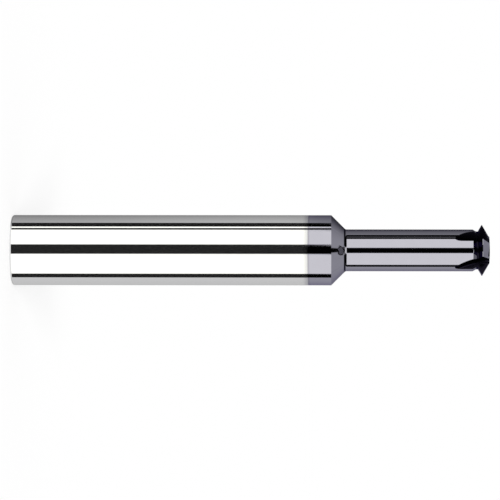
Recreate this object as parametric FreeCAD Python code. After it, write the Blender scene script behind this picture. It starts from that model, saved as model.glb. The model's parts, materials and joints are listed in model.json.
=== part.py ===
# A single-form thread mill, ground from one carbide rod and standing on its shank end.
# The axis is +Z, the origin is the centre of the shank's end face and the teeth are at the top.
# Lengths are in millimetres and angles in degrees.
import FreeCAD
import Part
import math
import os

# Shank
SHANK_DIAMETER = 9.525
SHANK_LENGTH = 43.31
END_CHAMFER = 0.2

# Cone and reduced neck
OVERALL_LENGTH = 64.7
NECK_DIAMETER = 5.67
CONE_ANGLE = 45.0
CONE_FILLET = 0.4

# Groove behind the teeth, with its short taper down from the neck
GROOVE_DIAMETER = 5.15
GROOVE_LENGTH = 0.8
GROOVE_TAPER_ANGLE = 30.0

# Teeth: one row of V profiles, relieved behind their edges
TOOTH_COUNT = 4
CUTTER_DIAMETER = 7.16
THREAD_ANGLE = 60.0
CREST_FLAT = 0.05
CREST_SETBACK = 1.0
LAND_ARC_RADIUS = 3.47
RELIEF_ANGLE = 4.8
FRONT_FACE_DIAMETER = 3.72

# Flutes: where a cutting edge lies, its rake, and the gullet ahead of it
EDGE_DIRECTION = 115.5
RAKE_ANGLE = -5.0
WEB_DIAMETER = 3.42
GULLET_ANGLE = 80.0
GULLET_RADIUS = 0.55
FLUTE_LENGTH = 4.7

# Seen from its teeth a left-hand cutter turns clockwise, and angles here grow the way it turns
HAND = -1

# How far a blank or a grinding wheel reaches past what it forms, and how far ahead of a gullet's sharp
# corner two teeth meet, which is behind the rounding and so inside the web
OVERRUN = 0.5
SEAM_ANGLE = 10.0

ORIGIN = FreeCAD.Vector(0, 0, 0)
AXIS = FreeCAD.Vector(0, 0, 1)


def polar(radius, angle, height=0.0):
    """The point at a radius from the axis, at an angle counted in the cutting direction."""
    turn = math.radians(angle)
    return FreeCAD.Vector(radius * math.cos(turn), HAND * radius * math.sin(turn), height)


def angle_of(offset):
    """The angle, counted in the cutting direction, at which an offset points."""
    return math.degrees(math.atan2(HAND * offset.y, offset.x))


def slope(degrees):
    """The run of a face for each millimetre of rise."""
    return math.tan(math.radians(degrees))


def revolved(points, centre, axis, sweep=360.0):
    """The solid that a closed outline of points makes as it turns about an axis."""
    outline = Part.makePolygon(points + points[:1])
    return Part.Face(outline).revolve(centre, axis, sweep)


def turned_body():
    """Shank, cone, neck and groove, and the web that carries the teeth up to the front face."""
    shank, neck, groove = SHANK_DIAMETER / 2, NECK_DIAMETER / 2, GROOVE_DIAMETER / 2
    crest = OVERALL_LENGTH - CREST_SETBACK
    groove_start = crest - GROOVE_LENGTH
    taper_start = groove_start - (neck - groove) / slope(GROOVE_TAPER_ANGLE)
    cone_end = SHANK_LENGTH + (shank - neck) / slope(CONE_ANGLE)
    profile = (
        (0, 0),
        (shank - END_CHAMFER, 0),
        (shank, END_CHAMFER),
        (shank, SHANK_LENGTH),
        (neck, cone_end),
        (neck, taper_start),
        (groove, groove_start),
        (groove, crest),
        (FRONT_FACE_DIAMETER / 2, OVERALL_LENGTH),
        (0, OVERALL_LENGTH),
    )
    body = revolved([FreeCAD.Vector(x, 0, z) for x, z in profile], ORIGIN, AXIS)
    cone_foot = [edge for edge in body.Edges if is_circle(edge, neck, cone_end)]
    return body.makeFillet(CONE_FILLET, cone_foot)


def is_circle(edge, radius, height):
    """Whether an edge is the circle of a radius round the axis at a height."""
    if not isinstance(edge.Curve, Part.Circle):
        return False
    same_radius = math.isclose(edge.Curve.Radius, radius, abs_tol=1e-6)
    return same_radius and math.isclose(edge.Curve.Center.z, height, abs_tol=1e-6)


class Flute:
    """The gullet ahead of one cutting edge, as the grinding wheel that leaves it."""

    def __init__(self, edge_direction):
        """Set the wheel's flat side in the rake face and its rim at the web."""
        edge_radius = CUTTER_DIAMETER / 2
        self.outward = polar(1, edge_direction + RAKE_ANGLE)
        self.ahead = polar(1, edge_direction + RAKE_ANGLE + 90)
        self.rake_offset = -edge_radius * math.sin(math.radians(RAKE_ANGLE))
        self.rim_taper = slope(90 - GULLET_ANGLE)
        self.floor = self.floor_at_front()
        self.wheel_radius = self.radius_for_length()

    def floor_at_front(self):
        """How far out in the rake face the floor starts, so that its corner just meets the web."""
        corner = GULLET_RADIUS
        reach = math.sqrt((WEB_DIAMETER / 2 + corner) ** 2 - (self.rake_offset + corner) ** 2)
        return reach - corner / slope(GULLET_ANGLE / 2)

    def radius_for_length(self):
        """The wheel radius whose rim, just past its rounded corner, leaves the neck where the flute ends."""
        surface = math.sqrt((NECK_DIAMETER / 2) ** 2 - (self.rake_offset + GULLET_RADIUS) ** 2)
        depth = surface - self.floor - self.rim_taper * GULLET_RADIUS
        return (FLUTE_LENGTH ** 2 + depth ** 2) / (2 * depth)

    def corner(self):
        """The point of the front face where the rake face and the floor would meet."""
        return self.outward * self.floor + self.ahead * self.rake_offset

    def wheel(self):
        """The wheel as a solid, its corner rounded, centred level with the front face."""
        width = CUTTER_DIAMETER / 2 + OVERRUN
        centre = self.outward * (self.floor + self.wheel_radius) + self.ahead * self.rake_offset
        centre.z = OVERALL_LENGTH
        rim = centre - self.outward * self.wheel_radius
        far_rim = rim + self.outward * (self.rim_taper * width) + self.ahead * width
        blank = revolved([centre, rim, far_rim, centre + self.ahead * width], centre, self.ahead)
        rims = [edge for edge in blank.Edges if isinstance(edge.Curve, Part.Circle)]
        flat_side_rim = max(rims, key=lambda edge: edge.Curve.Radius)
        return blank.makeFillet(GULLET_RADIUS, [flat_side_rim])


def tooth(edge_direction):
    """One V tooth, its land an arc about a centre shifted ahead, so that it falls away behind the edge."""
    crest = OVERALL_LENGTH - CREST_SETBACK
    flank = slope(THREAD_ANGLE / 2)
    root = WEB_DIAMETER / 4
    front = LAND_ARC_RADIUS - (CREST_SETBACK - CREST_FLAT / 2) / flank
    back = crest - CREST_FLAT / 2 - (LAND_ARC_RADIUS - root) * flank
    outline = (
        (root, back),
        (LAND_ARC_RADIUS, crest - CREST_FLAT / 2),
        (LAND_ARC_RADIUS, crest + CREST_FLAT / 2),
        (front, OVERALL_LENGTH),
        (root, OVERALL_LENGTH),
    )
    centre = polar(CUTTER_DIAMETER / 2, edge_direction) - polar(LAND_ARC_RADIUS, edge_direction - RELIEF_ANGLE)
    pitch = 360 / TOOTH_COUNT
    ahead = angle_of(Flute(edge_direction).corner() - centre) + SEAM_ANGLE
    behind = angle_of(Flute(edge_direction - pitch).corner() - centre) + SEAM_ANGLE
    start = [centre + polar(radius, behind, height) for radius, height in outline]
    return revolved(start, centre, AXIS * HAND, (ahead - behind) % 360)


def thread_mill():
    """The whole tool: the turned body with its teeth, then a flute ground ahead of each."""
    directions = [EDGE_DIRECTION + 360 * index / TOOTH_COUNT for index in range(TOOTH_COUNT)]
    blank = turned_body().fuse([tooth(direction) for direction in directions])
    ground = blank.cut([Flute(direction).wheel() for direction in directions])
    return ground.removeSplitter()


os.makedirs("parts", exist_ok=True)
mill = thread_mill()
mill.exportStep("parts/thread_mill.step")
print("solids", len(mill.Solids), "valid", mill.isValid(), "volume", round(mill.Volume, 2))
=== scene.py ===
"""Dresses a solid-carbide thread mill: its ground form, bare and coated finishes, studio and camera.

The tool stands on its shank end with its axis along +Z. Sizes are in millimetres until a finished mesh is
scaled to metres, and angles are in degrees. Directions round the axis are counted from the camera's side,
towards the top of the picture, which is also the way the tool turns when it cuts.
"""

from __future__ import annotations

import json
import logging
import math
from collections.abc import Callable, Iterable, Mapping, Sequence
from dataclasses import dataclass
from enum import Enum

import bmesh
import bpy
from mathutils import Matrix, Vector

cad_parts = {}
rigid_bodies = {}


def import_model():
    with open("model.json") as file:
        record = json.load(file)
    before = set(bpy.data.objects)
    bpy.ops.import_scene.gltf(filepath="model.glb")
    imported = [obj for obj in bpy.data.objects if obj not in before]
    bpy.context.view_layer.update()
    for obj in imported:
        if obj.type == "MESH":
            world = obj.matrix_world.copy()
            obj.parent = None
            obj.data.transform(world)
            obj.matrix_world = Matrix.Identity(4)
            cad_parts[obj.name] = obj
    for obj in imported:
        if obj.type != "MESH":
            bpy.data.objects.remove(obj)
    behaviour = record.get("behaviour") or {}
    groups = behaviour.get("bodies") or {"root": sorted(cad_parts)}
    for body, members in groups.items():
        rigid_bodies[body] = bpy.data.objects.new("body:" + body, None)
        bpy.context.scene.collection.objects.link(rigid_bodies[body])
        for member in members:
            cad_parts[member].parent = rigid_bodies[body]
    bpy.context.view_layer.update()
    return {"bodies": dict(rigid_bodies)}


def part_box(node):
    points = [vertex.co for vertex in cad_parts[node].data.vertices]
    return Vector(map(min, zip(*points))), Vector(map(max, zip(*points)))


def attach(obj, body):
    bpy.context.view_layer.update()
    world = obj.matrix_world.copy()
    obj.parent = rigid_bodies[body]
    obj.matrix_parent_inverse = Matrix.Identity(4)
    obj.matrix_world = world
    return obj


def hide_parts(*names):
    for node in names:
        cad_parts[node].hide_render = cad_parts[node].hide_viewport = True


LOG = logging.getLogger("thread_mill")

NODE = "thread_mill"
METRES_PER_MM = 0.001
WELD_MM = 1e-5
CUT_WELD_MM = 1e-4


def polar(radius: float, angle: float, height: float = 0.0) -> Vector:
    """Gives a point round the axis.

    Args:
        radius: Distance from the axis.
        angle: Direction in degrees, 0 towards the camera and 90 towards the top of the picture.
        height: Distance along the axis.

    Returns:
        The point in the row frame.
    """
    turn = math.radians(angle)
    return Vector((-radius * math.sin(turn), -radius * math.cos(turn), height))


def angle_of(offset: Vector) -> float:
    """Returns the direction, in degrees, in which an offset points round the axis."""
    return math.degrees(math.atan2(-offset.x, -offset.y))


def slope(degrees: float) -> float:
    """Returns the run of a face for each unit of rise."""
    return math.tan(math.radians(degrees))


@dataclass(frozen=True)
class MillSizes:
    """The tool's sizes in millimetres and degrees; the first two are read from the frame."""

    overall_length: float
    shank_diameter: float
    shank_length: float = 43.31
    end_chamfer: float = 0.2
    neck_diameter: float = 5.67
    cone_angle: float = 45.0
    cone_fillet: float = 0.4
    groove_diameter: float = 5.15
    groove_length: float = 0.8
    groove_taper_angle: float = 30.0
    tooth_count: int = 4
    cutter_diameter: float = 7.16
    thread_angle: float = 60.0
    crest_flat: float = 0.05
    crest_setback: float = 1.0
    land_arc_radius: float = 3.47
    relief_angle: float = 4.8
    front_face_diameter: float = 3.72
    edge_direction: float = 25.5
    rake_angle: float = -5.0
    web_diameter: float = 3.42
    gullet_angle: float = 80.0
    gullet_radius: float = 0.55
    flute_length: float = 4.7

    @classmethod
    def from_frame(cls, low: Vector, high: Vector) -> MillSizes:
        """Takes the overall length and the shank's diameter from the frame.

        Args:
            low: The node's lowest corner in metres.
            high: The node's highest corner in metres.

        Returns:
            The sizes of the tool.
        """
        return cls(
            overall_length=(high[2] - low[2]) / METRES_PER_MM,
            shank_diameter=(high[0] - low[0]) / METRES_PER_MM,
        )

    @property
    def crest_height(self) -> float:
        """Height of the tooth crests' middle."""
        return self.overall_length - self.crest_setback

    @property
    def groove_start(self) -> float:
        """Height at which the groove's floor starts."""
        return self.crest_height - self.groove_length

    @property
    def cone_end(self) -> float:
        """Height at which the cone would meet the neck without its fillet."""
        return self.shank_length + (self.shank_diameter - self.neck_diameter) / 2 / slope(self.cone_angle)

    @property
    def flank_slope(self) -> float:
        """Axial run of a tooth's flank for each millimetre of depth."""
        return slope(self.thread_angle / 2)

    @property
    def pitch_angle(self) -> float:
        """Angle from one tooth to the next."""
        return 360 / self.tooth_count


@dataclass(frozen=True)
class Fineness:
    """How many straight steps stand for each round form."""

    body_turn: int = 288
    tooth_turn: int = 96
    wheel_turn: int = 360
    cone_fillet: int = 10
    gullet: int = 8


class Surface(Enum):
    """Which finish a face gets, as the number of its material slot: fine grinding, or the near-black finish
    of shaped grinding, which is partly painted shade.
    """

    FINE = 0
    SHAPED_AND_PAINTED_SHADE = 1


class Shape:
    """A bmesh in millimetres with the few operators that turned and ground forms need."""

    def __init__(self) -> None:
        """Starts an empty mesh."""
        self.bm = bmesh.new()

    def outline(self, points: Sequence[Vector], closed: bool) -> list[bmesh.types.BMVert]:
        """Draws a line of vertices and edges.

        Args:
            points: The corners in order.
            closed: Whether the last corner joins the first and the outline is filled.

        Returns:
            The vertices, in the same order.
        """
        verts = [self.bm.verts.new(point) for point in points]
        for start, end in zip(verts, verts[1:]):
            self.bm.edges.new((start, end))
        if closed:
            self.bm.faces.new(verts)
        return verts

    def round_corner(self, vert: bmesh.types.BMVert, radius: float, steps: int) -> None:
        """Rounds one corner of a filled outline.

        Args:
            vert: The corner.
            radius: The arc's radius.
            steps: Straight steps along the arc.
        """
        first, second = (edge.other_vert(vert).co - vert.co for edge in vert.link_edges)
        tangent = radius / math.tan(first.angle(second) / 2)
        bmesh.ops.bevel(
            self.bm,
            geom=[vert],
            offset=tangent,
            offset_type="OFFSET",
            affect="VERTICES",
            segments=steps,
            profile=0.5,
            material=-1,
        )

    def spin(self, centre: Vector, axis: Vector, sweep: float, steps: int) -> None:
        """Turns everything drawn so far about an axis.

        Args:
            centre: A point on the axis.
            axis: The axis's direction.
            sweep: The angle in degrees; 360 closes the form on itself.
            steps: Straight steps along the turn.
        """
        bmesh.ops.spin(
            self.bm,
            geom=[*self.bm.verts, *self.bm.edges, *self.bm.faces],
            cent=centre,
            axis=axis,
            angle=math.radians(sweep),
            steps=steps,
            use_merge=math.isclose(sweep, 360),
        )

    def drop_axis(self, centre: Vector, axis: Vector) -> None:
        """Deletes the filling of a flat outline and its edges that lie along an axis.

        Args:
            centre: A point on the axis.
            axis: The axis's direction.
        """

        def on_axis(point: Vector) -> bool:
            """Tells whether a point lies on the axis."""
            return (point - centre).cross(axis).length < WELD_MM

        bmesh.ops.delete(self.bm, geom=list(self.bm.faces), context="FACES_ONLY")
        along = [edge for edge in self.bm.edges if all(on_axis(vert.co) for vert in edge.verts)]
        bmesh.ops.delete(self.bm, geom=along, context="EDGES_FACES")

    def close(self) -> None:
        """Merges doubled vertices and turns the faces outwards."""
        bmesh.ops.remove_doubles(self.bm, verts=self.bm.verts, dist=WELD_MM)
        bmesh.ops.dissolve_degenerate(self.bm, edges=self.bm.edges, dist=WELD_MM)
        bmesh.ops.recalc_face_normals(self.bm, faces=self.bm.faces)

    def to_object(self, name: str, surface_at: Callable[[float, float], Surface]) -> bpy.types.Object:
        """Writes the mesh to a new object of the scene and frees it.

        Args:
            name: The object's name.
            surface_at: Tells from a face's middle height and the height part of its normal which finish it
                gets,
            which a Boolean carries on to the faces that it makes.

        Returns:
            The object, at the origin.
        """
        self.close()
        for face in self.bm.faces:
            face.material_index = surface_at(face.calc_center_median().z, face.normal.z).value
        mesh = bpy.data.meshes.new(name)
        for _ in Surface:
            mesh.materials.append(None)
        self.bm.to_mesh(mesh)
        self.bm.free()
        made = bpy.data.objects.new(name, mesh)
        bpy.context.scene.collection.objects.link(made)
        return made


@dataclass(frozen=True)
class TurnedBody:
    """Shank, cone, neck and groove, and the web that carries the teeth up to the front face."""

    sizes: MillSizes
    fineness: Fineness

    def corners(self) -> list[tuple[float, float]]:
        """Lists the corners of the half section, from the end face's centre to the front face's.

        Returns:
            The radius and height of each corner.
        """
        s = self.sizes
        shank, neck, groove = s.shank_diameter / 2, s.neck_diameter / 2, s.groove_diameter / 2
        taper_start = s.groove_start - (neck - groove) / slope(s.groove_taper_angle)
        return [
            (0, 0),
            (shank - s.end_chamfer, 0),
            (shank, s.end_chamfer),
            (shank, s.shank_length),
            (neck, s.cone_end),
            (neck, taper_start),
            (groove, s.groove_start),
            (groove, s.crest_height),
            (s.front_face_diameter / 2, s.overall_length),
            (0, s.overall_length),
        ]

    def build(self) -> bpy.types.Object:
        """Turns the body, with the cone's foot rounded.

        Returns:
            The body in millimetres.
        """
        shape = Shape()
        corners = self.corners()
        verts = shape.outline([Vector((radius, 0, height)) for radius, height in corners], closed=True)
        foot = verts[corners.index((self.sizes.neck_diameter / 2, self.sizes.cone_end))]
        shape.round_corner(foot, self.sizes.cone_fillet, self.fineness.cone_fillet)
        up = Vector((0, 0, 1))
        shape.drop_axis(Vector(), up)
        shape.spin(Vector(), up, 360, self.fineness.body_turn)
        return shape.to_object("turned_body", self._surface_at)

    def _surface_at(self, height: float, _: float) -> Surface:
        """Gives the groove's floor the flutes' near-black finish as painted shade, and the rest the fine
        finish.
        """
        in_groove = self.sizes.groove_start < height < self.sizes.crest_height
        return Surface.SHAPED_AND_PAINTED_SHADE if in_groove else Surface.FINE


@dataclass(frozen=True)
class Flute:
    """The gullet ahead of one cutting edge, as the grinding wheel that leaves it."""

    sizes: MillSizes
    fineness: Fineness
    edge_direction: float

    @property
    def outward(self) -> Vector:
        """Direction along the rake face, away from the axis."""
        return polar(1, self.edge_direction + self.sizes.rake_angle)

    @property
    def ahead(self) -> Vector:
        """Direction square to the rake face, away from its tooth."""
        return polar(1, self.edge_direction + self.sizes.rake_angle + 90)

    @property
    def rake_offset(self) -> float:
        """How far the rake face's plane lies ahead of the axis."""
        return -self.sizes.cutter_diameter / 2 * math.sin(math.radians(self.sizes.rake_angle))

    @property
    def floor(self) -> float:
        """How far out in the rake face the floor starts, so that its corner just meets the web."""
        corner = self.sizes.gullet_radius
        reach = self.sizes.web_diameter / 2 + corner
        across = self.rake_offset + corner
        return math.sqrt(reach**2 - across**2) - corner / slope(self.sizes.gullet_angle / 2)

    @property
    def wheel_radius(self) -> float:
        """The wheel radius whose rim, just past its rounded corner, leaves the neck where the flute ends."""
        corner = self.sizes.gullet_radius
        surface = math.sqrt((self.sizes.neck_diameter / 2) ** 2 - (self.rake_offset + corner) ** 2)
        depth = surface - self.floor - slope(90 - self.sizes.gullet_angle) * corner
        return (self.sizes.flute_length**2 + depth**2) / (2 * depth)

    def corner(self) -> Vector:
        """Returns the point of a cross-section where the rake face and the floor would meet."""
        return self.outward * self.floor + self.ahead * self.rake_offset

    def build(self) -> bpy.types.Object:
        """Turns the wheel, its flat side in the rake face and its centre level with the front face.

        Returns:
            The wheel in millimetres.
        """
        shape = Shape()
        width = self.sizes.cutter_diameter / 2 + self.sizes.gullet_radius * 2
        rim = self.corner() + Vector((0, 0, self.sizes.overall_length))
        centre = rim + self.outward * self.wheel_radius
        taper = self.outward * (slope(90 - self.sizes.gullet_angle) * width)
        far_side = self.ahead * width
        verts = shape.outline([centre, rim, rim + taper + far_side, centre + far_side], closed=True)
        shape.round_corner(verts[1], self.sizes.gullet_radius, self.fineness.gullet)
        shape.drop_axis(centre, self.ahead)
        shape.spin(centre, self.ahead, 360, self.fineness.wheel_turn)
        return shape.to_object("wheel", lambda height, normal: Surface.SHAPED_AND_PAINTED_SHADE)


@dataclass(frozen=True)
class Tooth:
    """One V tooth, its land an arc about a centre shifted ahead, so that it falls away behind the edge."""

    sizes: MillSizes
    fineness: Fineness
    edge_direction: float

    SEAM_ANGLE = 10.0
    FACES_BACK = -0.2

    def section(self) -> list[tuple[float, float]]:
        """Lists the corners of the tooth's outline.

        Returns:
            The height of each corner, after its radius about the tooth's own centre.
        """
        s = self.sizes
        root = s.web_diameter / 4
        half_flat = s.crest_flat / 2
        front = s.land_arc_radius - (s.crest_setback - half_flat) / s.flank_slope
        back = s.crest_height - half_flat - (s.land_arc_radius - root) * s.flank_slope
        return [
            (root, back),
            (s.land_arc_radius, s.crest_height - half_flat),
            (s.land_arc_radius, s.crest_height + half_flat),
            (front, s.overall_length),
            (root, s.overall_length),
        ]

    def build(self) -> bpy.types.Object:
        """Turns the tooth as a blank whose two ends lie in the gullets beside it.

        Returns:
            The tooth in millimetres.
        """
        s = self.sizes
        edge = polar(s.cutter_diameter / 2, self.edge_direction)
        centre = edge - polar(s.land_arc_radius, self.edge_direction - s.relief_angle)
        leading, trailing = (
            angle_of(Flute(s, self.fineness, direction).corner() - centre) + self.SEAM_ANGLE
            for direction in (self.edge_direction, self.edge_direction - s.pitch_angle)
        )
        shape = Shape()
        points = [centre + polar(radius, trailing, height) for radius, height in self.section()]
        shape.outline(points, closed=True)
        clockwise = Vector((0, 0, -1))
        shape.spin(centre, clockwise, (leading - trailing) % 360, self.fineness.tooth_turn)
        return shape.to_object("tooth", self._surface_at)

    def _surface_at(self, _: float, normal: float) -> Surface:
        """Gives the rear flank the flutes' near-black finish as painted shade, and the rest the fine finish.
        """
        return Surface.SHAPED_AND_PAINTED_SHADE if normal < self.FACES_BACK else Surface.FINE


class Cut(Enum):
    """What a second body does to the first, as the Boolean modifier names it."""

    JOIN = "UNION"
    GRIND = "DIFFERENCE"


@dataclass(frozen=True)
class ThreadMill:
    """The whole tool: the turned body with its teeth, and a flute ground ahead of each."""

    sizes: MillSizes
    fineness: Fineness

    SHARP_ANGLE = 20.0

    def build(self) -> bpy.types.Object:
        """Joins the teeth to the body and grinds the flutes.

        Returns:
            The finished tool in metres, with its sharp edges marked.
        """
        mill = TurnedBody(self.sizes, self.fineness).build()
        directions = [
            self.sizes.edge_direction + self.sizes.pitch_angle * index
            for index in range(self.sizes.tooth_count)
        ]
        for direction in directions:
            self._combine(mill, Tooth(self.sizes, self.fineness, direction).build(), Cut.JOIN)
        for direction in directions:
            self._combine(mill, Flute(self.sizes, self.fineness, direction).build(), Cut.GRIND)
        self._finish(mill)
        mill.name = "ground_thread_mill"
        return mill

    def _combine(self, mill: bpy.types.Object, other: bpy.types.Object, cut: Cut) -> None:
        """Joins another body to the tool or grinds it away, and removes it.

        Args:
            mill: The tool so far, whose mesh is replaced.
            other: The second body.
            cut: What it does.
        """
        modifier = mill.modifiers.new("cut", "BOOLEAN")
        modifier.solver = "EXACT"
        modifier.operation = cut.value
        modifier.object = other
        bpy.context.view_layer.update()
        depsgraph = bpy.context.evaluated_depsgraph_get()
        combined = bpy.data.meshes.new_from_object(mill.evaluated_get(depsgraph))
        mill.modifiers.remove(modifier)
        spent = [mill.data, other.data]
        mill.data = combined
        bpy.data.objects.remove(other)
        for mesh in spent:
            bpy.data.meshes.remove(mesh)

    def _finish(self, mill: bpy.types.Object) -> None:
        """Cleans the mesh, marks its sharp edges and scales it to metres.

        Args:
            mill: The tool in millimetres.
        """
        bm = bmesh.new()
        bm.from_mesh(mill.data)
        bmesh.ops.remove_doubles(bm, verts=bm.verts, dist=CUT_WELD_MM)
        bmesh.ops.dissolve_degenerate(bm, edges=bm.edges, dist=CUT_WELD_MM)
        limit = math.radians(self.SHARP_ANGLE)
        for face in bm.faces:
            face.smooth = True
        for edge in bm.edges:
            edge.smooth = edge.is_manifold and edge.calc_face_angle() < limit
        bmesh.ops.scale(bm, vec=Vector((METRES_PER_MM,) * 3), verts=bm.verts)
        open_edges = sum(not edge.is_manifold for edge in bm.edges)
        LOG.info("tool mesh: %d faces, %d open edges", len(bm.faces), open_edges)
        bm.to_mesh(mill.data)
        bm.free()


class Graph:
    """Adds nodes to one node tree."""

    def __init__(self, tree: bpy.types.NodeTree) -> None:
        """Takes over a node tree and empties it."""
        self.tree = tree
        tree.nodes.clear()

    def node(
        self,
        kind: str,
        settings: Mapping[str, object] | None = None,
        inputs: Mapping[str | int, object] | None = None,
    ) -> bpy.types.Node:
        """Adds a node.

        Args:
            kind: The node's type name.
            settings: Its own settings, such as operation; "stops" fills a colour ramp.
            inputs: What each socket gets, by name or number: a Signal, an output socket or a value.

        Returns:
            The node.
        """
        made = self.tree.nodes.new(kind)
        for name, value in (settings or {}).items():
            if name == "stops":
                self._fill_ramp(made.color_ramp, value)
            else:
                setattr(made, name, value)
        for key, value in (inputs or {}).items():
            self.feed(made.inputs[key], value)
        return made

    def feed(self, socket: bpy.types.NodeSocket, value: object) -> None:
        """Gives an input socket what it gets.

        Args:
            socket: The input socket.
            value: A Signal or an output socket, which is linked, or the socket's own value.
        """
        if isinstance(value, Signal):
            value = value.socket
        if isinstance(value, bpy.types.NodeSocket):
            self.tree.links.new(value, socket)
        else:
            socket.default_value = value

    def signal(self, kind: str, output: str | int = 0, **parts: Mapping) -> Signal:
        """Adds a node and wraps one of its outputs.

        Args:
            kind: The node's type name.
            output: The output's name or number.
            **parts: settings and inputs, as for node.

        Returns:
            The output, ready for shader maths.
        """
        return Signal(self, self.node(kind, **parts).outputs[output])

    @staticmethod
    def _fill_ramp(ramp: bpy.types.ColorRamp, stops: Iterable[tuple[float, float]]) -> None:
        """Gives a colour ramp its stops.

        Args:
            ramp: The ramp.
            stops: A place from 0 to 1 and a grey level each.
        """
        wanted = sorted(stops)
        while len(ramp.elements) < len(wanted):
            ramp.elements.new(1.0)
        for element, (place, level) in zip(ramp.elements, wanted):
            element.position = place
            element.color = (level, level, level, 1.0)


class Signal:
    """A shader value whose Python operators add Math nodes."""

    def __init__(self, graph: Graph, socket: bpy.types.NodeSocket) -> None:
        """Wraps an output socket."""
        self.graph = graph
        self.socket = socket

    def math(self, operation: str, *others: object) -> Signal:
        """Adds a Math node with this value first.

        Args:
            operation: The Math node's operation.
            *others: Its other inputs.

        Returns:
            The result.
        """
        return self._math_node(operation, (self, *others))

    def _math_node(self, operation: str, values: Sequence[object]) -> Signal:
        """Adds a Math node on these values, in order."""
        numbered = dict(enumerate(values))
        return self.graph.signal("ShaderNodeMath", settings={"operation": operation}, inputs=numbered)

    def __add__(self, other: object) -> Signal:
        """Adds a value."""
        return self._math_node("ADD", (self, other))

    def __radd__(self, other: object) -> Signal:
        """Adds this to a value."""
        return self._math_node("ADD", (other, self))

    def __sub__(self, other: object) -> Signal:
        """Subtracts a value."""
        return self._math_node("SUBTRACT", (self, other))

    def __rsub__(self, other: object) -> Signal:
        """Subtracts this from a value."""
        return self._math_node("SUBTRACT", (other, self))

    def __mul__(self, other: object) -> Signal:
        """Multiplies by a value."""
        return self._math_node("MULTIPLY", (self, other))

    def __rmul__(self, other: object) -> Signal:
        """Multiplies a value by this."""
        return self._math_node("MULTIPLY", (other, self))

    def __truediv__(self, other: object) -> Signal:
        """Divides by a value."""
        return self._math_node("DIVIDE", (self, other))

    def __neg__(self) -> Signal:
        """Turns the value round."""
        return self._math_node("MULTIPLY", (self, -1.0))

    def ramp(self, low: float, high: float) -> Signal:
        """Returns 0 below one value and 1 above another, with a smooth rise between."""
        return self.graph.signal(
            "ShaderNodeMapRange",
            settings={"interpolation_type": "SMOOTHSTEP"},
            inputs={"Value": self, "From Min": low, "From Max": high},
        )


def coordinates(graph: Graph, kind: str) -> tuple[Signal, Signal, Signal, bpy.types.NodeSocket]:
    """Reads a texture coordinate.

    Args:
        graph: The graph of a material or of the world.
        kind: The coordinate's name, such as Object.

    Returns:
        Its three parts, and the socket that holds them all.
    """
    whole = graph.node("ShaderNodeTexCoord").outputs[kind]
    split = graph.node("ShaderNodeSeparateXYZ", inputs={0: whole})
    x, y, z = (Signal(graph, part) for part in split.outputs)
    return x, y, z, whole


@dataclass(frozen=True)
class GroundFinish:
    """One ground surface: its colour, how sharply it mirrors, and the trace of the wheel."""

    colour: tuple[float, float, float]
    edge_tint: tuple[float, float, float]
    roughness: float
    roughness_spread: float
    shade_spread: float
    metallic: float
    line_depth: float

    def shader(self, graph: Graph, lines: Signal, cloud: Signal, brightness: object) -> bpy.types.Node:
        """Adds this surface's shader.

        Args:
            graph: The material's graph.
            lines: Height of the fine lines that the wheel left, 0 to 1.
            cloud: Slow variation over the surface, 0 to 1.
            brightness: What its colour is multiplied by.

        Returns:
            The shader node.
        """
        shade = graph.node(
            "ShaderNodeMix",
            settings={"data_type": "RGBA"},
            inputs={
                0: cloud,
                6: (*(channel * (1 - self.shade_spread) for channel in self.colour), 1.0),
                7: (*(min(1.0, channel * (1 + self.shade_spread)) for channel in self.colour), 1.0),
            },
        )
        colour = graph.node(
            "ShaderNodeVectorMath",
            settings={"operation": "SCALE"},
            inputs={0: shade.outputs[2], "Scale": brightness},
        )
        bump = graph.node(
            "ShaderNodeBump",
            inputs={"Strength": 1.0, "Distance": self.line_depth * METRES_PER_MM, "Height": lines},
        )
        return graph.node(
            "ShaderNodeBsdfPrincipled",
            inputs={
                "Base Color": colour.outputs[0],
                "Roughness": self.roughness + (lines - 0.5) * self.roughness_spread,
                "Metallic": self.metallic,
                "Specular Tint": (*self.edge_tint, 1.0),
                "Normal": bump.outputs[0],
            },
        )


BARE_CARBIDE = GroundFinish(
    colour=(0.84, 0.84, 0.85),
    edge_tint=(1.0, 1.0, 1.0),
    roughness=0.045,
    roughness_spread=0.015,
    shade_spread=0.012,
    metallic=0.977,
    line_depth=0.000006,
)

COATING = GroundFinish(
    colour=(0.41, 0.403, 0.478),
    edge_tint=(0.54, 0.52, 0.64),
    roughness=0.05,
    roughness_spread=0.015,
    shade_spread=0.03,
    metallic=1.0,
    line_depth=0.000005,
)

# A near-black, rough patch, painted on the cone as a dark reflection.
PAINTED_REFLECTION_SPOT = GroundFinish(
    colour=(0.05, 0.048, 0.062),
    edge_tint=(0.54, 0.52, 0.64),
    roughness=0.5,
    roughness_spread=0.1,
    shade_spread=0.3,
    metallic=0.0,
    line_depth=0.00002,
)

# The flutes' coating, ground by a shaped wheel; its near-black colour is partly painted shade, and on the
# groove's floor and the rear flanks it is painted shade alone.
FLUTE_COATING_AND_PAINTED_SHADE = GroundFinish(
    colour=(0.011, 0.0095, 0.018),
    edge_tint=(0.42, 0.39, 0.56),
    roughness=0.2,
    roughness_spread=0.05,
    shade_spread=0.1,
    metallic=1.0,
    line_depth=0.00002,
)


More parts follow.
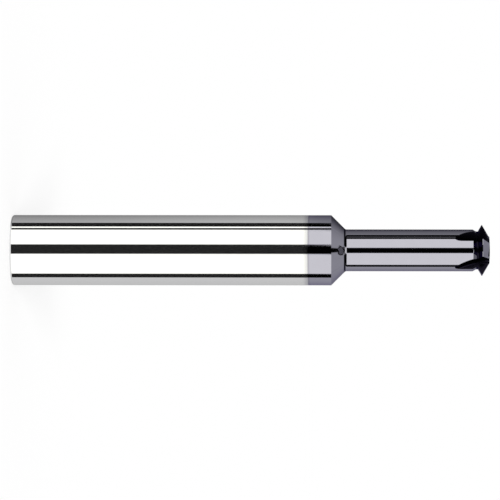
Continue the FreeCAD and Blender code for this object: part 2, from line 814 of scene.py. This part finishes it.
@dataclass(frozen=True)
class CoatedCarbide:
    """The tool's material: bare ground carbide, coated over its front half, with a dark ring and a dark spot
    painted on the cone as reflections.

    Attributes:
        name: The material's name.
        bare: The finish behind the coating's edge.
        coating: The finish in front of it.
        sizes: The tool's sizes.
        boundary_behind_cone: How far behind the cone the coating starts.
        boundary_slant: How much further forward its edge lies for each millimetre away from the camera.
        boundary_blur: Half the width over which the edge fades, and the width over which it wanders.
        haze_length: How far the haze reaches behind the edge.
        haze_strength: How much of a coating the haze is at its strongest.
        rim_width: Width of the darker rim in front of the edge.
        rim_dimming: How much darker the rim is.
        foot_ring: Where the ring of painted dark reflection starts, is full, fades and ends, from the cone's
            foot.
        foot_clear: How far the gap in that painted ring reaches to each side, before it starts to close and
            in all.
        spot_before_foot: How far the middle of the spot painted as a dark reflection lies behind the cone's
            foot.
        spot_offset: How far it lies to the side.
        spot_radii: Half the spot's length and half its width.
    """

    name: str
    bare: GroundFinish
    coating: GroundFinish
    sizes: MillSizes
    boundary_behind_cone: float = 3.08
    boundary_slant: float = 0.026
    boundary_blur: float = 0.09
    haze_length: float = 0.8
    haze_strength: float = 0.45
    rim_width: float = 0.35
    rim_dimming: float = 0.25
    foot_ring: tuple[float, float, float, float] = (-0.25, -0.2, -0.02, 0.05)
    foot_clear: tuple[float, float] = (0.5, 0.65)
    spot_before_foot: float = 0.62
    spot_offset: float = 0.06
    spot_radii: tuple[float, float] = (0.38, 0.48)

    LINES_PER_MM = 55.0
    CLOUDS_PER_MM = 0.7
    SPOT_CLOUDS_PER_MM = 2.1
    SPOT_RAGGEDNESS = 2.2
    SPOT_EDGE = (0.85, 1.0)
    SPOT_HALO = (1.15, 1.3)
    FAR_SIDE = 9.0
    GAP_DEPTH = 0.5
    # How much the painted dark reflections at the cone's foot and round the spot darken the coating.
    PAINTED_REFLECTION_DARKENING = 0.97

    def build(self) -> bpy.types.Material:
        """Mixes the finishes over the tool.

        Returns:
            The material.
        """
        material = bpy.data.materials.new(self.name)
        material.use_nodes = True
        graph = Graph(material.node_tree)
        x, y, z, spot = coordinates(graph, "Object")
        lines = self._wheel_lines(graph, z)
        cloud = self._cloud(graph, spot, self.CLOUDS_PER_MM)
        past_edge = self._past_edge(y, z, cloud)
        # The ring at the cone's foot and the spot with its halo are painted dark reflections; the coating's
        # edge is darker too.
        ring = self._spot_ring(graph, x, y, z, spot)
        halo = 1 - ring.ramp(*self.SPOT_HALO)
        dimming = self._rim(past_edge) * self._foot(x, y, z) * (1 - halo * self.PAINTED_REFLECTION_DARKENING)
        coated = graph.node(
            "ShaderNodeMixShader",
            inputs={
                0: self._coverage(past_edge),
                1: self.bare.shader(graph, lines, cloud, 1.0).outputs[0],
                2: self.coating.shader(graph, lines, cloud, dimming).outputs[0],
            },
        )
        # Lays the near-black spot, a painted dark reflection, over the finish.
        mix = graph.node(
            "ShaderNodeMixShader",
            inputs={
                0: 1 - ring.ramp(*self.SPOT_EDGE),
                1: coated.outputs[0],
                2: PAINTED_REFLECTION_SPOT.shader(graph, lines, cloud, 1.0).outputs[0],
            },
        )
        graph.node("ShaderNodeOutputMaterial", inputs={"Surface": mix.outputs[0]})
        return material

    def _wheel_lines(self, graph: Graph, z: Signal) -> Signal:
        """Adds the fine rings that grinding leaves round the tool.

        Args:
            graph: The material's graph.
            z: Height in metres.

        Returns:
            Their height, 0 to 1.
        """
        return graph.signal(
            "ShaderNodeTexNoise",
            settings={"noise_dimensions": "1D"},
            inputs={
                "W": z / METRES_PER_MM,
                "Scale": self.LINES_PER_MM,
                "Detail": 3.0,
                "Roughness": 0.6,
            },
        )

    def _cloud(self, graph: Graph, spot: bpy.types.NodeSocket, per_mm: float) -> Signal:
        """Adds a blotchy variation of the surface.

        Args:
            graph: The material's graph.
            spot: The point in metres.
            per_mm: How many blotches lie on a millimetre.

        Returns:
            The variation, 0 to 1.
        """
        return graph.signal(
            "ShaderNodeTexNoise",
            inputs={
                "Vector": spot,
                "Scale": per_mm / METRES_PER_MM,
                "Detail": 4.0,
                "Roughness": 0.55,
            },
        )

    def _past_edge(self, y: Signal, z: Signal, cloud: Signal) -> Signal:
        """Returns how many millimetres a point lies in front of the coating's edge."""
        past_edge = z / METRES_PER_MM - (self.sizes.shank_length - self.boundary_behind_cone)
        return past_edge - y / METRES_PER_MM * self.boundary_slant + (cloud - 0.5) * self.boundary_blur

    def _coverage(self, past_edge: Signal) -> Signal:
        """Tells how much coating lies at a point, with the haze that fades out behind its edge.

        Args:
            past_edge: How many millimetres the point lies in front of the edge.

        Returns:
            1 on the coating, and less on its edge and haze.
        """
        solid = past_edge.ramp(-self.boundary_blur, self.boundary_blur)
        haze = past_edge.ramp(-self.haze_length, 0.0)
        return solid + (1 - solid) * haze * self.haze_strength

    def _rim(self, past_edge: Signal) -> Signal:
        """Returns the brightness of the coating, which is a little darker along its edge."""
        return 1 - (1 - past_edge.ramp(0.0, self.rim_width)) * self.rim_dimming

    def _foot(self, x: Signal, y: Signal, z: Signal) -> Signal:
        """Paints a dark reflection as a ring at the cone's foot, with a gap on the camera's side.

        Args:
            x: First coordinate in metres.
            y: Second coordinate, negative on the photographed side.
            z: Height.

        Returns:
            The coating's brightness.
        """
        start, full, fade, end = (self.sizes.cone_end + offset for offset in self.foot_ring)
        height = z / METRES_PER_MM
        ring = height.ramp(start, full) * (1 - height.ramp(fade, end))
        photographed = (-y).ramp(0.0, self.GAP_DEPTH * METRES_PER_MM)
        across = x.math("ABSOLUTE") / METRES_PER_MM
        clear = photographed * (1 - across.ramp(*self.foot_clear))
        return 1 - ring * (1 - clear) * self.PAINTED_REFLECTION_DARKENING

    def _spot_ring(self, graph: Graph, x: Signal, y: Signal, z: Signal, spot: bpy.types.NodeSocket) -> Signal:
        """Measures how far a point lies from the middle of the spot painted on the cone as a dark reflection.

        Args:
            graph: The material's graph.
            x: First coordinate in metres.
            y: Second coordinate, negative on the photographed side.
            z: Height.
            spot: The socket that holds all three.

        Returns:
            The distance, 1 at the spot's ragged edge.
        """
        along, across = self.spot_radii
        rise = (z / METRES_PER_MM - (self.sizes.cone_end - self.spot_before_foot)) / along
        side = (x / METRES_PER_MM - self.spot_offset) / across
        distance = (rise * rise + side * side).math("SQRT")
        ragged = (self._cloud(graph, spot, self.SPOT_CLOUDS_PER_MM) - 0.5) * self.SPOT_RAGGEDNESS
        return distance + ragged + y.ramp(-METRES_PER_MM, 0.0) * self.FAR_SIDE


@dataclass(frozen=True)
class Band:
    """A soft box or a black flag of the studio that the polished tool mirrors.

    Attributes:
        start: Direction round the axis where it starts, in degrees from the camera.
        level: How bright it is there.
        end_level: How bright it is where the next one starts.
    """

    start: float
    level: float
    end_level: float


@dataclass(frozen=True)
class Panel:
    """A lamp or a grey panel on the photographed side of the studio.

    Attributes:
        left: Direction round the axis where it starts, in degrees from the camera.
        right: Direction where it ends.
        low: Where it starts above the horizon, in degrees.
        high: Where it ends.
        level: How bright it is.
    """

    left: float
    right: float
    low: float
    high: float
    level: float

    EDGE = 1.0

    def cover(self, turned: Signal, height: Signal) -> Signal:
        """Tells where the panel lies.

        Args:
            turned: A direction's angle round the axis, in degrees from the camera.
            height: Its angle above the horizon.

        Returns:
            1 on the panel and 0 beside it.
        """
        across = self._within(turned, self.left, self.right)
        return across * self._within(height, self.low, self.high)

    def _within(self, angle: Signal, start: float, end: float) -> Signal:
        """Returns 1 between two angles and 0 beyond them, with soft edges."""
        rise = angle.ramp(start - self.EDGE, start + self.EDGE)
        return rise * (1 - angle.ramp(end - self.EDGE, end + self.EDGE))


@dataclass(frozen=True)
class Studio:
    """Light and surroundings: what the tool mirrors, the plain light on the floor, and a white background.

    A level is a brightness, where 1 is white. A pair says where something starts and where it is full: for
    LIFT_SIDE and BACK_EDGES in the direction's x and y, for GREY_PANEL_EDGES in degrees round the axis, for
    BOX_LEVELS in brightness, and for all others in degrees above the horizon, or below it for the cellar.
    Only sun_direction is an angle round the axis and one above the horizon.
    """

    bands: tuple[Band, ...] = (
        Band(-180.0, 0.45, 0.59),
        Band(-150.0, 0.59, 0.66),
        Band(-101.7, 0.0008, 0.0008),
        Band(-83.9, 1.36, 1.36),
        Band(-12.4, 0.0008, 0.0008),
        Band(18.9, 1.36, 1.36),
        Band(71.0, 0.0008, 0.0008),
        Band(78.8, 1.7, 1.7),
        Band(83.8, 0.0008, 0.0008),
        Band(101.8, 0.43, 0.34),
        Band(127.0, 0.34, 0.15),
    )
    neck_bands: tuple[Band, ...] = (
        Band(-180.0, 0.45, 0.62),
        Band(-150.0, 0.62, 0.72),
        Band(-103.2, 0.0008, 0.0008),
        Band(-86.9, 1.36, 1.36),
        Band(-15.3, 0.0008, 0.0008),
        Band(14.2, 1.36, 1.36),
        Band(65.0, 0.0008, 0.0008),
        Band(77.2, 0.3, 0.3),
        Band(80.2, 0.0008, 0.0008),
        Band(95.0, 0.42, 0.34),
        Band(120.0, 0.34, 0.14),
        Band(150.0, 0.14, 0.05),
    )
    panels: tuple[Panel, ...] = (
        Panel(left=-75.0, right=-28.0, low=46.0, high=64.0, level=0.25),
        Panel(left=-20.0, right=20.0, low=12.0, high=66.0, level=1.2),
    )
    neck_rise: tuple[float, float] = (0.03, 0.25)
    top_panel_lift: float = 0.27
    band_edge: float = 0.9
    panel_dimming: float = 0.15
    box_warmth: float = 0.075
    ceiling_level: float = 0.535
    ceiling_rise: tuple[float, float] = (15.0, 80.0)
    front_ceiling_level: float = 0.0015
    front_ceiling_rise: tuple[float, float] = (4.2, 6.5)
    cellar_level: float = 0.9
    cellar_rise: tuple[float, float] = (38.0, 55.0)
    front_cellar_level: float = 0.004
    back_ceiling_level: float = 0.465
    back_ceiling_lean: float = 0.25
    plain_level: float = 0.6
    sun_share: float = 0.4
    sun_spread: float = 20.0
    sun_direction: tuple[float, float] = (0.0, 42.0)
    floor_colour: float = 0.4
    floor_size: float = 12.0

    FRONT_EDGE = 0.08
    DIMMING_EDGES = (0.05, 0.6)
    LIFT_RISE = (-6.0, -0.7)
    LIFT_END = (-0.45, -0.25)
    LIFT_SIDE = (0.0, 0.2)
    GREY_PANEL_EDGES = (98.5, 99.5)
    BOX_LEVELS = (0.9, 1.2)
    BACK_EDGES = (0.36, 0.45)
    BACK_LOW_EDGES = (48.0, 52.0)
    ZENITH_EDGES = (85.0, 87.0)

    def build(self) -> None:
        """Sets up the world, the lamp and the floor."""
        self._world()
        self._sun()
        self._floor()

    def _banded(self, graph: Graph, turn: Signal, bands: Sequence[Band]) -> Signal:
        """Adds a row of bands, with two ramp stops to each edge.

        A ramp holds no more than 1, so it gets half the levels and its result is doubled.

        Args:
            graph: The world's graph.
            turn: Where a direction lies on the ramp.
            bands: The bands in order.

        Returns:
            Their brightness in that direction.
        """
        half = self.band_edge / 2
        stops = [(0.0, bands[0].level)]
        for band, following in zip(bands, bands[1:]):
            stops.append((self._place(following.start - half), band.end_level))
            stops.append((self._place(following.start + half), following.level))
        stops.append((1.0, bands[-1].end_level))
        half_levels = [(place, level / 2) for place, level in stops]
        return graph.signal("ShaderNodeValToRGB", settings={"stops": half_levels}, inputs={0: turn}) * 2

    @staticmethod
    def _place(angle: float) -> float:
        """Returns where a direction lies on the ramp, which runs once round the axis."""
        return angle / 360 + 0.5

    def _world(self) -> None:
        """Builds the surroundings: white to the camera, bands to reflections, plain to soft light."""
        world = bpy.data.worlds.new("studio")
        bpy.context.scene.world = world
        world.use_nodes = True
        graph = Graph(world.node_tree)
        x, y, z, _ = coordinates(graph, "Generated")
        mirrored = self._mirrored(graph, x, y, z)
        path = graph.node("ShaderNodeLightPath")
        to_camera = Signal(graph, path.outputs["Is Camera Ray"])
        to_mirror = Signal(graph, path.outputs["Is Glossy Ray"])
        soft = self.plain_level + (mirrored - self.plain_level) * to_mirror
        strength = soft + (1 - soft) * to_camera
        blue = 1 - mirrored.ramp(*self.BOX_LEVELS) * to_mirror * self.box_warmth
        colour = graph.node("ShaderNodeCombineColor", inputs={0: 1.0, 1: 1.0, 2: blue})
        background = graph.node(
            "ShaderNodeBackground", inputs={"Color": colour.outputs[0], "Strength": strength}
        )
        graph.node("ShaderNodeOutputWorld", inputs={"Surface": background.outputs[0]})

    def _mirrored(self, graph: Graph, x: Signal, y: Signal, z: Signal) -> Signal:
        """Returns how bright the surroundings are in a direction that the tool mirrors.

        Args:
            graph: The world's graph.
            x: The direction's first part.
            y: Its second part, which is negative on the camera's side.
            z: Its part along the tool.

        Returns:
            The brightness.
        """
        azimuth = (-x).math("ARCTAN2", -y)
        turned = azimuth * math.degrees(1)
        height = z.math("ARCSINE") * math.degrees(1)
        in_front = (-y).ramp(0.0, self.FRONT_EDGE)
        at_back = y.ramp(*self.BACK_EDGES) * height.ramp(*self.BACK_LOW_EDGES)
        below = (-height).ramp(*self.cellar_rise)
        level = self._walls(graph, azimuth / math.tau + 0.5, height)
        level = self._shade_grey_panels(level, x, turned, height)
        covers = (
            (height.ramp(*self.ceiling_rise), self.ceiling_level),
            (at_back, self.back_ceiling_level - x * self.back_ceiling_lean),
            (below, self.cellar_level),
            (below * in_front, self.front_cellar_level),
            (height.ramp(*self.front_ceiling_rise) * in_front, self.front_ceiling_level),
            *((panel.cover(turned, height) * in_front, panel.level) for panel in self.panels),
            (height.ramp(*self.ZENITH_EDGES), self.front_ceiling_level),
        )
        for cover, cover_level in covers:
            level = level * (1 - cover) + cover * cover_level
        return level

    def _walls(self, graph: Graph, turn: Signal, height: Signal) -> Signal:
        """Adds the bands round the tool: those that the shank mirrors, and the neck's own just above.

        Args:
            graph: The world's graph.
            turn: Where a direction lies on the ramps.
            height: Its angle above the horizon.

        Returns:
            Their brightness.
        """
        on_neck = height.ramp(*self.neck_rise)
        level = self._banded(graph, turn, self.bands) * (1 - on_neck)
        return level + self._banded(graph, turn, self.neck_bands) * on_neck

    def _shade_grey_panels(self, level: Signal, x: Signal, turned: Signal, height: Signal) -> Signal:
        """Dims both grey panels above the horizon, and lifts the one at the picture's top just below it.

        Args:
            level: Brightness of the bands.
            x: A direction's first part, negative towards the top of the picture.
            turned: Its angle round the axis.
            height: Its angle above the horizon.

        Returns:
            The brightness, changed on the grey panels only.
        """
        grey = turned.math("ABSOLUTE").ramp(*self.GREY_PANEL_EDGES)
        level = level * (1 - grey * height.ramp(*self.DIMMING_EDGES) * self.panel_dimming)
        near_coating = height.ramp(*self.LIFT_RISE) * (1 - height.ramp(*self.LIFT_END))
        return level * (1 + grey * near_coating * (-x).ramp(*self.LIFT_SIDE) * self.top_panel_lift)

    def _sun(self) -> None:
        """Adds the broad lamp that gives the floor its soft shadow and leaves no spot on the metal."""
        azimuth, degrees_up = self.sun_direction
        height = math.radians(degrees_up)
        lamp = bpy.data.lights.new("soft_key", "SUN")
        lamp.angle = math.radians(self.sun_spread)
        lamp.energy = math.pi * self.sun_share / math.sin(height)
        holder = bpy.data.objects.new("soft_key", lamp)
        towards = polar(math.cos(height), azimuth, math.sin(height))
        holder.rotation_mode = "QUATERNION"
        holder.rotation_quaternion = (-towards).to_track_quat("-Z", "Y")
        holder.visible_glossy = False
        bpy.context.scene.collection.objects.link(holder)

    def _floor(self) -> None:
        """Adds the pale floor, which fades into the background and keeps the tool's shadow."""
        bm = bmesh.new()
        bmesh.ops.create_grid(bm, x_segments=1, y_segments=1, size=self.floor_size / 2)
        mesh = bpy.data.meshes.new("floor")
        bm.to_mesh(mesh)
        bm.free()
        floor = bpy.data.objects.new("floor", mesh)
        floor.visible_glossy = False
        bpy.context.scene.collection.objects.link(floor)
        mesh.materials.append(self._floor_material())

    def _floor_material(self) -> bpy.types.Material:
        """Paints the floor grey, lifted to white for the camera where no shadow falls.

        Returns:
            The material.
        """
        material = bpy.data.materials.new("pale_floor")
        material.use_nodes = True
        graph = Graph(material.node_tree)
        to_camera = Signal(graph, graph.node("ShaderNodeLightPath").outputs["Is Camera Ray"])
        lift = 1 - self.floor_colour * (self.plain_level + self.sun_share)
        shader = graph.node(
            "ShaderNodeBsdfPrincipled",
            inputs={
                "Base Color": (self.floor_colour,) * 3 + (1.0,),
                "Roughness": 1.0,
                "Specular IOR Level": 0.0,
                "Emission Color": (1.0, 1.0, 1.0, 1.0),
                "Emission Strength": to_camera * lift,
            },
        )
        graph.node("ShaderNodeOutputMaterial", inputs={"Surface": shader.outputs[0]})
        return material


@dataclass(frozen=True)
class PhotoCamera:
    """The photograph's view, rolled so that the standing tool lies across the picture.

    Attributes:
        distance: How far it stands from the tool's axis, in metres.
        height: Its height in metres, level with the cone.
        aim_height: The height that it aims at.
        side_offset: How far it stands and aims to the side of the axis.
        roll: A small turn of the picture, in degrees.
        focal_length: Its lens in millimetres.
    """

    distance: float = 0.415
    height: float = 0.0432
    aim_height: float = 0.03228
    side_offset: float = 0.000033
    roll: float = 0.05
    focal_length: float = 220.1

    def build(self) -> None:
        """Adds the camera and makes it the scene's own."""
        data = bpy.data.cameras.new("photo_camera")
        data.lens = self.focal_length
        data.clip_start = self.distance / 10
        data.clip_end = self.distance * 100
        camera = bpy.data.objects.new("photo_camera", data)
        place = Vector((-self.side_offset, -self.distance, self.height))
        back = (place - Vector((-self.side_offset, 0.0, self.aim_height))).normalized()
        picture_up = Matrix.Rotation(math.radians(self.roll), 3, back) @ Vector((-1.0, 0.0, 0.0))
        picture_right = picture_up.cross(back)
        turn = Matrix((picture_right, picture_up, back)).transposed()
        camera.matrix_world = Matrix.Translation(place) @ turn.to_4x4()
        bpy.context.scene.collection.objects.link(camera)
        bpy.context.scene.camera = camera


def main() -> None:
    """Loads the frame and dresses it, piece by piece."""
    logging.basicConfig(level=logging.INFO, format="%(name)s: %(message)s")
    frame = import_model()
    scene = bpy.context.scene
    scene.view_settings.view_transform = "Standard"
    PhotoCamera().build()
    Studio().build()
    LOG.info("studio and camera are up")
    body = next(iter(frame["bodies"]))
    sizes = MillSizes.from_frame(*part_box(NODE))
    mill = ThreadMill(sizes, Fineness()).build()
    # The second slot's near-black flute finish is partly painted shade.
    for surface, name, coating in (
        (Surface.FINE, "coated_carbide", COATING),
        (Surface.SHAPED_AND_PAINTED_SHADE, "coated_flute_and_painted_shade", FLUTE_COATING_AND_PAINTED_SHADE),
    ):
        mill.data.materials[surface.value] = CoatedCarbide(name, BARE_CARBIDE, coating, sizes).build()
    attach(mill, body)
    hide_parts(NODE)
    LOG.info("%s rides on %s and stands for node %s", mill.name, body, NODE)


if __name__ == "__main__":
    main()
